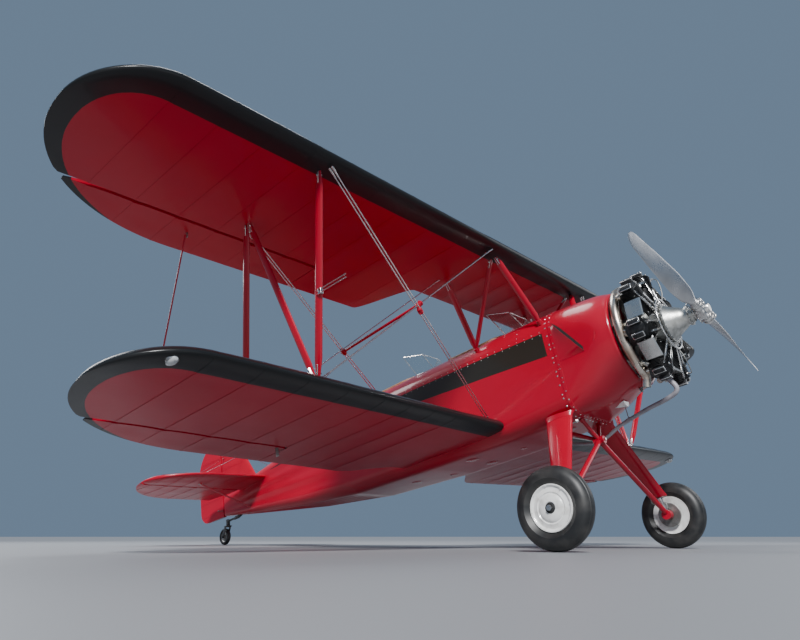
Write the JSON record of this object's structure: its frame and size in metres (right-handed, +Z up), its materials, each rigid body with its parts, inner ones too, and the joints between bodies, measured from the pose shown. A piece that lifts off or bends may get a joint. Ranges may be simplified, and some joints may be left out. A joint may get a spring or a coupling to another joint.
{
  "type": "three-seat open-cockpit biplane with a radial engine",
  "caption": "Fabric-covered biplane with staggered wings, uncowled radial engine, two-blade propeller, split-axle main gear and sprung tail wheel.",
  "frame": {"origin": "centre of the bounding box at the surface that the wheels stand on", "axes": "+Z up, -Y towards the nose, +X towards the left wing tip"},
  "size_m": [8.496, 6.6882, 2.5416],
  "materials": {
    "red_fabric": "glossy red dope over stitched fabric",
    "red_metal": "glossy red enamel",
    "engine_case": "grey cast alloy",
    "cylinder_iron": "black heat-proof enamel",
    "exhaust_steel": "heat-tinted stainless sheet",
    "propeller_alloy": "polished forged alloy",
    "bright_steel": "streamlined steel wire and bright fittings",
    "spring_steel": "dark painted spring steel",
    "white_disc": "white painted wheel cover",
    "tyre": "plain black tyre",
    "tail_rubber": "solid black rubber",
    "seat_leather": "brown leather",
    "panel_black": "matt black paint",
    "windshield": "clear sheet"
  },
  "bodies": {
    "airframe": {"fuselage_tub": "red_fabric", "cockpit_deck": "red_metal", "rear_fuselage": "red_fabric", "nose_cowl": "red_metal", "instrument_panel_front": "panel_black", "instrument_panel_rear": "panel_black", "seat_front": "seat_leather", "seat_rear": "seat_leather", "windshield_front": "windshield", "windshield_rear": "windshield", "center_section": "red_fabric", "upper_wing_left": "red_fabric", "upper_wing_right": "red_fabric", "lower_wing_left": "red_fabric", "lower_wing_right": "red_fabric", "interplane_strut_left": "red_metal", "interplane_strut_right": "red_metal", "cabane_strut_left": "red_metal", "cabane_strut_right": "red_metal", "bracing_wires_left": "bright_steel", "bracing_wires_right": "bright_steel", "crankcase": "engine_case", "cylinder_1": "cylinder_iron", "cylinder_2": "cylinder_iron", "cylinder_3": "cylinder_iron", "cylinder_4": "cylinder_iron", "cylinder_5": "cylinder_iron", "cylinder_6": "cylinder_iron", "cylinder_7": "cylinder_iron", "exhaust_collector": "exhaust_steel", "gear_leg_left": "red_metal", "gear_leg_right": "red_metal", "gear_shock_left": "bright_steel", "gear_shock_right": "bright_steel", "axle_left": "red_metal", "axle_right": "red_metal", "gear_truss": "red_metal", "stabiliser_left": "red_fabric", "stabiliser_right": "red_fabric", "fin": "red_fabric", "tail_strut_left": "red_metal", "tail_strut_right": "red_metal", "tail_spring": "spring_steel"},
    "propeller": {"propeller": "propeller_alloy"},
    "wheel_left": {"tyre_left": "tyre", "wheel_hub_left": "white_disc"},
    "wheel_right": {"tyre_right": "tyre", "wheel_hub_right": "white_disc"},
    "tail_yoke": {"tail_fork": "spring_steel"},
    "tail_wheel": {"tail_wheel": "tail_rubber"},
    "rudder": {"rudder": "red_fabric"},
    "elevators": {"elevators": "red_fabric"},
    "upper_aileron_left": {"upper_aileron_left": "red_fabric"},
    "upper_aileron_right": {"upper_aileron_right": "red_fabric"},
    "lower_aileron_left": {"lower_aileron_left": "red_fabric"},
    "lower_aileron_right": {"lower_aileron_right": "red_fabric"},
    "aileron_link_left": {"aileron_link_left": "red_metal"},
    "aileron_link_right": {"aileron_link_right": "red_metal"}
  },
  "joints": [
    {"name": "propeller_spin", "type": "hinge", "parent": "airframe", "child": "propeller", "pos_m": [0, -3.25916, 1.7811], "axis": [0, -0.9781, 0.2079], "continuous": true},
    {"name": "wheel_left_spin", "type": "hinge", "parent": "airframe", "child": "wheel_left", "pos_m": [1.06, -2.47304, 0.28497], "axis": [1, 0, 0], "continuous": true},
    {"name": "wheel_right_spin", "type": "hinge", "parent": "airframe", "child": "wheel_right", "pos_m": [-1.06, -2.47304, 0.28497], "axis": [1, 0, 0], "continuous": true},
    {"name": "tail_wheel_swivel", "type": "hinge", "parent": "airframe", "child": "tail_yoke", "pos_m": [0, 2.62821, 0.11556], "axis": [0, 0.2079, 0.9781], "range_deg": [-30, 30]},
    {"name": "tail_wheel_spin", "type": "hinge", "parent": "tail_yoke", "child": "tail_wheel", "pos_m": [0, 2.70157, 0.09997], "axis": [1, 0, 0], "continuous": true},
    {"name": "rudder_turn", "type": "hinge", "parent": "airframe", "child": "rudder", "pos_m": [0, 2.78825, 0.70016], "axis": [0, 0.2079, 0.9781], "range_deg": [-30, 30]},
    {"name": "elevator_turn", "type": "hinge", "parent": "airframe", "child": "elevators", "pos_m": [0, 2.28963, 0.66301], "axis": [1, 0, 0], "range_deg": [-25, 25]},
    {"name": "upper_aileron_left_turn", "type": "hinge", "parent": "airframe", "child": "upper_aileron_left", "pos_m": [3, -0.87408, 2.24025], "axis": [1, 0, 0], "range_deg": [-25, 25]},
    {"name": "lower_aileron_left_turn", "type": "hinge", "parent": "airframe", "child": "lower_aileron_left", "pos_m": [3, -0.61084, 0.83334], "axis": [0.9997, 0.0054, 0.0256], "range_deg": [-25.2, 25.2]},
    {"name": "aileron_link_left_turn", "type": "hinge", "parent": "lower_aileron_left", "child": "aileron_link_left", "pos_m": [3, -0.51538, 0.84955], "axis": [0.9997, 0.0054, 0.0256], "range_deg": [-28, 28]},
    {"name": "upper_aileron_right_turn", "type": "hinge", "parent": "airframe", "child": "upper_aileron_right", "pos_m": [-3, -0.87408, 2.24025], "axis": [1, 0, 0], "range_deg": [-25.2, 25.2]},
    {"name": "lower_aileron_right_turn", "type": "hinge", "parent": "airframe", "child": "lower_aileron_right", "pos_m": [-3, -0.61084, 0.83334], "axis": [0.9997, -0.0054, -0.0256], "range_deg": [-25.2, 25.2]},
    {"name": "aileron_link_right_turn", "type": "hinge", "parent": "lower_aileron_right", "child": "aileron_link_right", "pos_m": [-3, -0.51538, 0.84955], "axis": [0.9997, -0.0054, -0.0256], "range_deg": [-28, 28]}
  ],
  "couplings": [
    {"joint": "lower_aileron_left_turn", "follows": "upper_aileron_left_turn", "ratio": 1},
    {"joint": "aileron_link_left_turn", "follows": "upper_aileron_left_turn", "ratio": -1.09},
    {"joint": "upper_aileron_right_turn", "follows": "upper_aileron_left_turn", "ratio": -1},
    {"joint": "lower_aileron_right_turn", "follows": "upper_aileron_left_turn", "ratio": -1},
    {"joint": "aileron_link_right_turn", "follows": "upper_aileron_left_turn", "ratio": 1.09}
  ]
}
